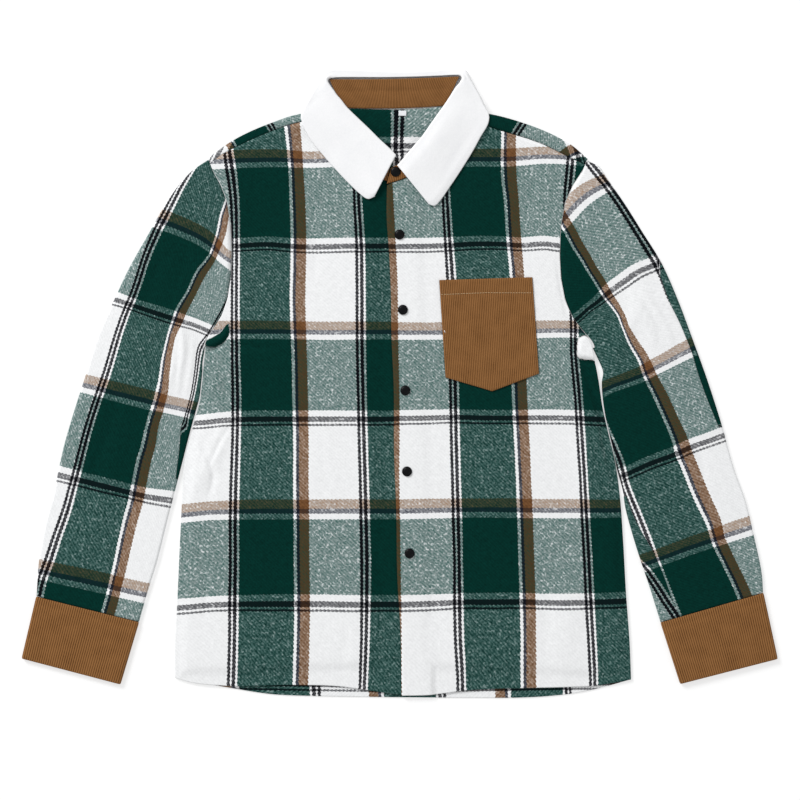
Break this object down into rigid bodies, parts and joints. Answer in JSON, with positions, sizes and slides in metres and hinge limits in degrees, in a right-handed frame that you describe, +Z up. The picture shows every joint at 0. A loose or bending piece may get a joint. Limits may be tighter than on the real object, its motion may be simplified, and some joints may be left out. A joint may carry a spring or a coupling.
{
  "type": "check overshirt with corduroy trim",
  "caption": "Long-sleeved check overshirt laid flat on its back, fastened, with a white collar leaf and brown corduroy cuffs, pocket and collar stand.",
  "frame": {"origin": "centre of the laid-flat outline, on the surface that the garment rests on", "axes": "+X across the chest to the wearer's left, +Y up the body to the collar, +Z up from the surface"},
  "size_m": [0.9055, 0.7551, 0.0124],
  "materials": {
    "check_cloth": "brushed twill check in dark green, white, brown and black",
    "corduroy": "needlecord with fine raised wales",
    "white_cloth": "soft brushed white cloth",
    "snap_cap": "smooth black domed caps"
  },
  "bodies": {
    "root": {"back": "check_cloth", "front_right": "check_cloth", "front_left": "check_cloth", "sleeve_right": "check_cloth", "sleeve_left": "check_cloth", "cuff_right": "corduroy", "cuff_left": "corduroy", "collar_stand_back": "corduroy", "collar_stand_right": "corduroy", "collar_stand_left": "corduroy", "pocket": "corduroy", "collar_fall": "white_cloth", "neck_label": "white_cloth", "snap_1": "snap_cap", "snap_2": "snap_cap", "snap_3": "snap_cap", "snap_4": "snap_cap", "snap_5": "snap_cap", "snap_6": "snap_cap"}
  },
  "joints": []
}
